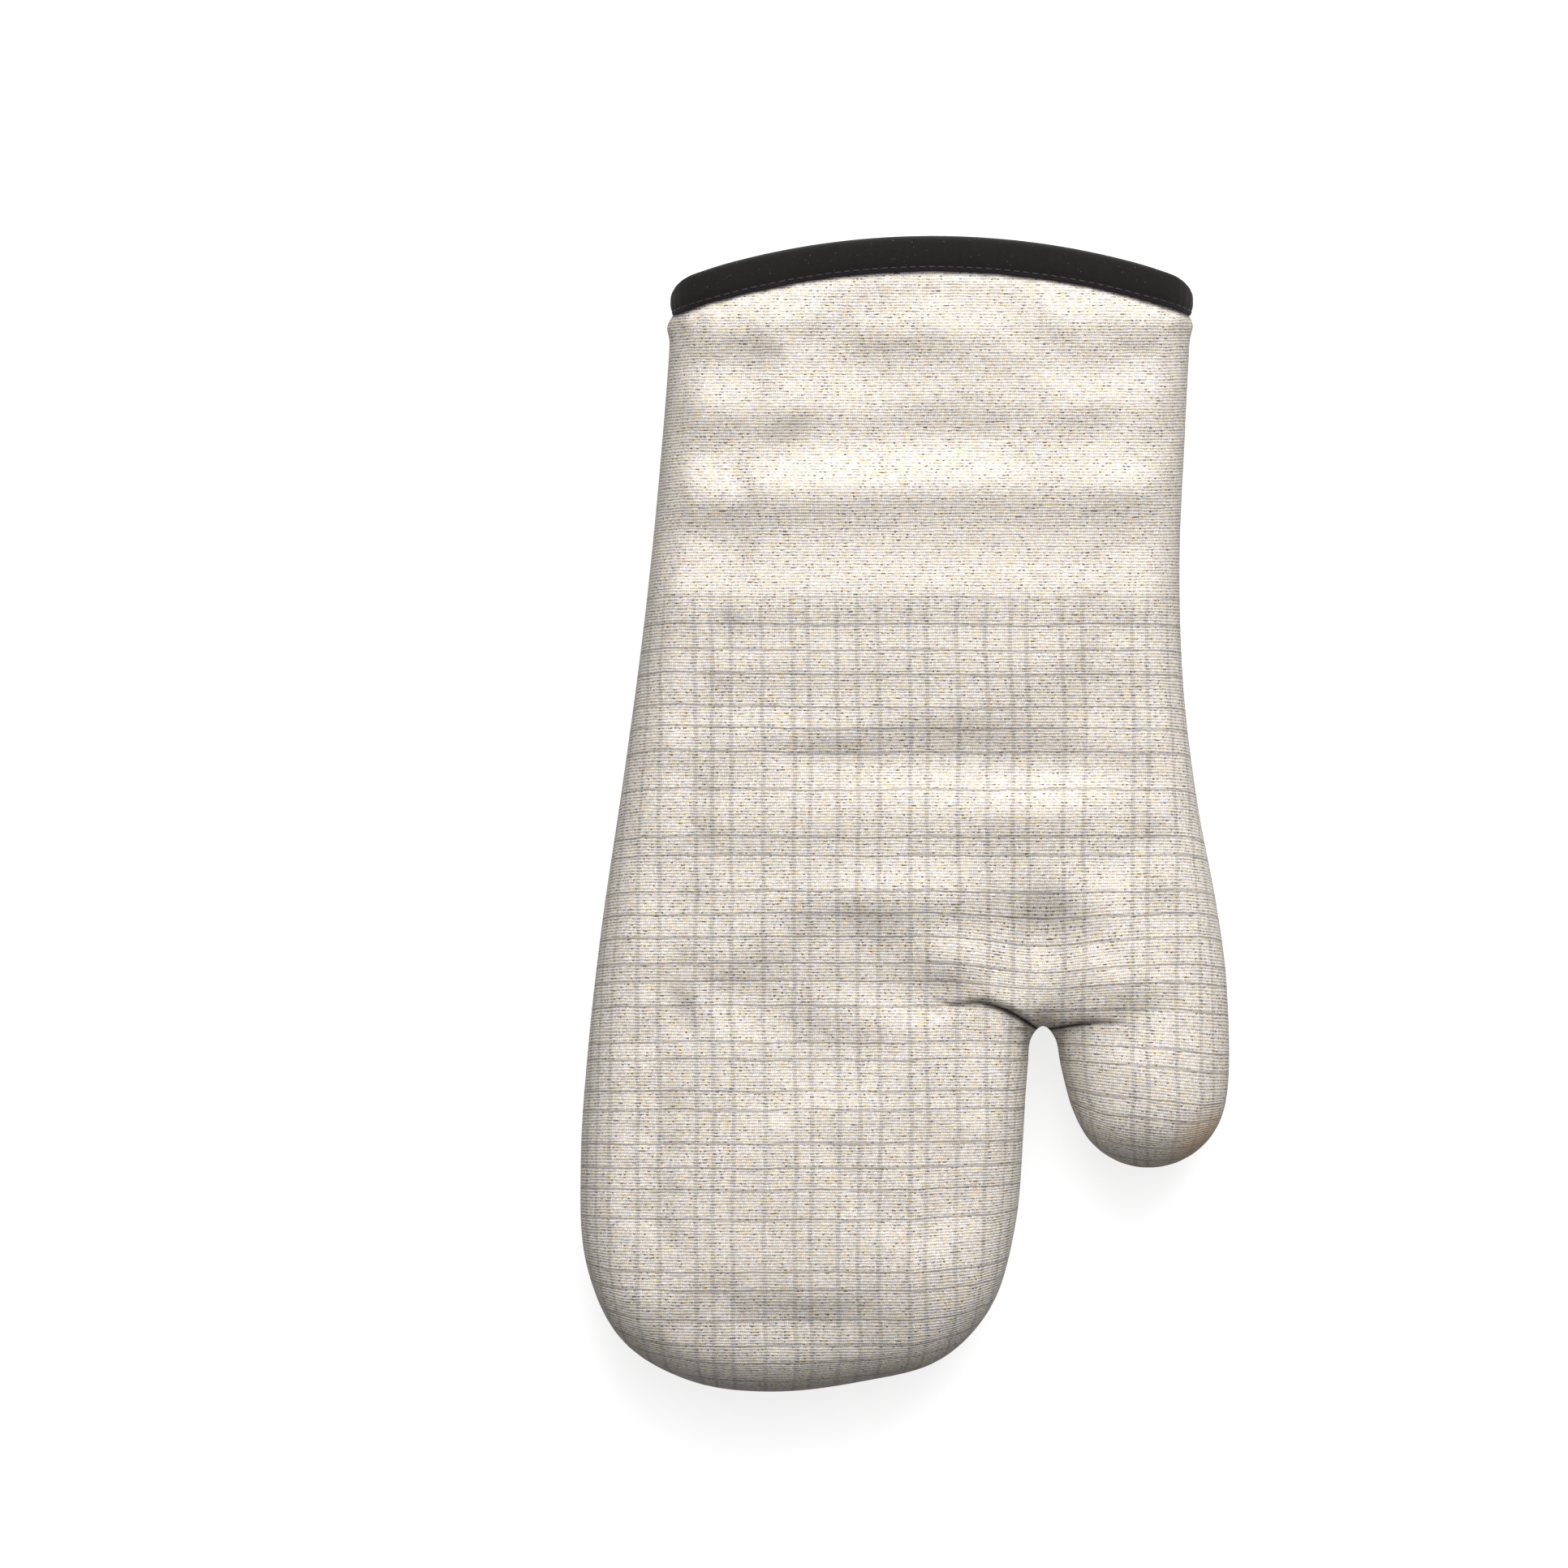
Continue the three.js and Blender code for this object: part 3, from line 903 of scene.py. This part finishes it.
def plain_weave(name, dark, pale, pitch):
    """A fine even weave between two colours."""
    g = Graph(name)
    u, v, side = g.plan()
    warp = g.cosine(g.math("DIVIDE", u, pitch))
    weft = g.cosine(g.math("DIVIDE", v, pitch))
    check = g.math("ABSOLUTE", g.sub(warp, weft))
    slub = g.noise(g.vector(g.mul(u, 0.3), g.mul(v, 0.9), 2.0), 1.0, 3.0)
    colour = g.mix(g.add(g.mul(check, 0.5), g.mul(slub, 0.5)), dark, pale)
    g.bump(check, 0.1 * MM, 0.6)
    return g.finish(colour, 0.95, 0.1)


def tape_cloth():
    """Near-black bias tape: fine diagonal weave, a few pale specks of lint, and a bluish tint along its lower outer
    edge.
    """
    g = Graph("bias_tape")
    u, v, _ = g.plan()
    twill = g.cosine(g.math("DIVIDE", g.add(u, v), 0.62))
    cross = g.cosine(g.math("DIVIDE", g.sub(u, v), 0.5))
    slub = g.noise(g.vector(g.mul(u, 0.5), g.mul(v, 0.5), 4.0), 1.0, 4.0)
    cloud = g.noise(g.vector(g.mul(u, 0.05), g.mul(v, 0.09), 6.0), 1.0, 2.0)
    weave = g.add(g.mul(twill, 0.65), g.mul(g.mul(cross, slub), 0.5))
    colour = g.mix(weave, linear(9, 7, 7), linear(38, 34, 33))
    colour = g.mix(g.mul(g.step(cloud, 0.45, 0.8), 0.5), colour, linear(22, 20, 21))
    # a bluish tint along the tape's lower outer edge
    lower_edge_tint = g.mul(g.sub(1.0, g.step(v, 0.4, 1.9)), 0.5)
    colour = g.mix(lower_edge_tint, colour, linear(28, 22, 42))
    speck = g.noise(g.vector(g.mul(u, 2.2), g.mul(v, 2.2), 1.0), 1.0, 0.0)
    colour = g.mix(g.mul(g.step(speck, 0.80, 0.86), 0.4), colour, linear(150, 144, 140))
    g.bump(weave, 0.09 * MM, 0.7)
    return g.finish(colour, 0.88, 0.06, 0.5, 0.2)


def thread():
    """Dark plied thread."""
    g = Graph("stitching_thread")
    place = g.nodes.new("ShaderNodeTexCoord").outputs["Object"]
    ply = g.noise(place, 2600.0, 2.0)
    colour = g.mix(ply, linear(18, 15, 20), linear(52, 46, 56))
    g.bump(ply, 0.05 * MM, 0.5)
    return g.finish(colour, 0.6, 0.05, 0.4, 0.35)


def studio_floor():
    """Bright paper, lit from behind, so that the shadows on it stay faint."""
    g = Graph("studio_floor")
    place = g.nodes.new("ShaderNodeTexCoord").outputs["Object"]
    grain = g.noise(place, 40.0, 2.0)
    colour = g.mix(grain, linear(164, 164, 164), linear(170, 170, 170))
    g.shader.inputs["Emission Color"].default_value = (1, 1, 1, 1)
    g.shader.inputs["Emission Strength"].default_value = 0.78
    return g.finish(colour, 0.9, 0.0)


# ---- building the visual model ----
def build_mitt():
    """The four pieces of the cover and the two of the lining, by part and label."""
    blank = mitt_blank()
    blank = inflate(blank)
    lining_blank = blank.copy()
    cover = subdivided(blank, 2, "cover")
    store(cover, "cloth", cloth_plan(points_of(cover)))
    finish_cover(cover)
    cut_cuff(cover, COVER_SHORT)
    cut_thumb(cover)
    thumb = in_thumb(cover)
    sides = np.empty(len(cover.polygons), np.int32)
    cover.polygons.foreach_get("material_index", sides)
    pieces = {}
    for side, label in enumerate(("front", "back")):
        for is_thumb, part in ((False, "hand"), (True, "thumb")):
            chosen = (sides == side) & (thumb == is_thumb)
            pieces[part, label] = shell(f"{part}_cover_{label}", cover, chosen, COVER_THICKNESS)
    inner = subdivided(lining_blank, 1, "lining")
    points = points_of(inner)
    store(inner, "cloth", cloth_plan(points))
    inside, out = edge_distance(points[:, :2])
    inset = (WALL - LINING_THICKNESS) * (1 - np.clip(inside / EDGE_ROUND, 0, 1))
    points[:, :2] -= out * inset[:, None]
    points[:, 2] = SEAM_Z + (points[:, 2] - SEAM_Z) * LINING_SHARE
    set_points(inner, points)
    cut_cuff(inner, LINING_SHORT)
    cut_thumb(inner)
    thumb = in_thumb(inner)
    pieces["hand", "lining"] = shell("hand_lining", inner, ~thumb, LINING_THICKNESS)
    pieces["thumb", "lining"] = shell("thumb_lining", inner, thumb, LINING_THICKNESS)
    return pieces


# The CAD model's seam allowance solids that each lining also stands for, hidden with it
SEAM_ALLOWANCES = {
    "hand": ["seam_allowance_little_finger_side", "seam_allowance_crotch", "seam_allowance_thumb_side",
             "seam_allowance_fingers"],
    "thumb": ["seam_allowance_thumb"],
}


def attach_mitt(pieces):
    """Each piece has its transform baked in, and the CAD solids of its layer, which it stands for, are hidden."""
    bodies = {"hand": ("palm", "fingers"), "thumb": ("thumb",)}
    for (part, label), piece in pieces.items():
        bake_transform(piece)
        if label == "lining":
            nodes = [f"{b}_{side}_lining" for b in bodies[part] for side in ("front", "back")]
            nodes += SEAM_ALLOWANCES[part]
        else:
            nodes = [f"{b}_{label}_{layer}" for b in bodies[part] for layer in ("cover", "wadding")]
        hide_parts(*nodes)


pieces = build_mitt()
CANVAS = canvas()
LINING = plain_weave("lining_cotton", linear(196, 188, 174), linear(236, 230, 218), 0.7)
for (part, label), piece in pieces.items():
    piece.data.materials.append(LINING if label == "lining" else CANVAS)
attach_mitt(pieces)

binding, section, outward = add_binding()
binding.data.materials.append(tape_cloth())
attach(binding, "palm_and_cuff")
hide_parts("cuff_binding")

stitch_line = TAPE_WIDTH - 1.3
THREAD = thread()
for name, lift, flip in (("outside", 1.0, 1), ("inside", -WALL - 1.3, -1)):
    row = add_stitches(f"cuff_stitches_{name}", section, outward, stitch_line, lift, flip)
    row.data.materials.append(THREAD)
    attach(row, "palm_and_cuff")
    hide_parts(f"binding_stitching_{name}")

# ---- the studio ----
VIEW_CENTRE = (-34.65 * MM, 8.49 * MM)
VIEW_WIDTH = 449.3 * MM
CAMERA_HEIGHT = 6.0


def add_camera():
    data = bpy.data.cameras.new("camera")
    data.sensor_width = 36
    data.lens = 36 * (CAMERA_HEIGHT - SEAM_Z * MM) / VIEW_WIDTH
    data.clip_end = 20
    camera = bpy.data.objects.new("camera", data)
    camera.location = (*VIEW_CENTRE, CAMERA_HEIGHT)
    bpy.context.scene.collection.objects.link(camera)
    bpy.context.scene.camera = camera


def add_light(name, location, size, power, tint=(1, 1, 1)):
    data = bpy.data.lights.new(name, "AREA")
    data.shape = "DISK"
    data.size = size
    data.energy = power
    data.color = tint
    light = bpy.data.objects.new(name, data)
    light.location = location
    light.rotation_euler = (-Vector(location)).to_track_quat("-Z", "Y").to_euler()
    bpy.context.scene.collection.objects.link(light)


def add_studio():
    size = 3.0
    floor = link("studio_floor", make_mesh("studio_floor", np.array([
        (-size, -size, 0), (size, -size, 0), (size, size, 0), (-size, size, 0)]) / MM, [(0, 1, 2, 3)]))
    floor.data.materials.append(studio_floor())
    floor.visible_diffuse = False
    add_light("key", (0.3, 1.6, 1.3), 2.2, 55, (1.0, 0.99, 0.985))
    add_light("fill", (0.3, 0.8, 2.3), 1.6, 17, (0.99, 0.995, 1.0))
    world = bpy.data.worlds.new("studio")
    world.use_nodes = True
    nodes, links = world.node_tree.nodes, world.node_tree.links
    place = nodes.new("ShaderNodeTexCoord")
    split = nodes.new("ShaderNodeSeparateXYZ")
    links.new(place.outputs["Generated"], split.inputs[0])
    strength = nodes.new("ShaderNodeMath")
    strength.operation = "MULTIPLY"
    for socket, axis, low, least, most in ((0, 2, 0.0, 0.27, 0.52), (1, 1, -1.0, 0.2, 1.7)):
        ramp = nodes.new("ShaderNodeMapRange")
        ramp.inputs["From Min"].default_value = low
        ramp.inputs["To Min"].default_value = least
        ramp.inputs["To Max"].default_value = most
        links.new(split.outputs[axis], ramp.inputs["Value"])
        links.new(ramp.outputs["Result"], strength.inputs[socket])
    links.new(strength.outputs[0], nodes["Background"].inputs["Strength"])
    nodes["Background"].inputs["Color"].default_value = (1, 1, 1, 1)
    bpy.context.scene.world = world
    bpy.context.scene.view_settings.view_transform = "Standard"


add_camera()
add_studio()

bpy.context.view_layer.update()
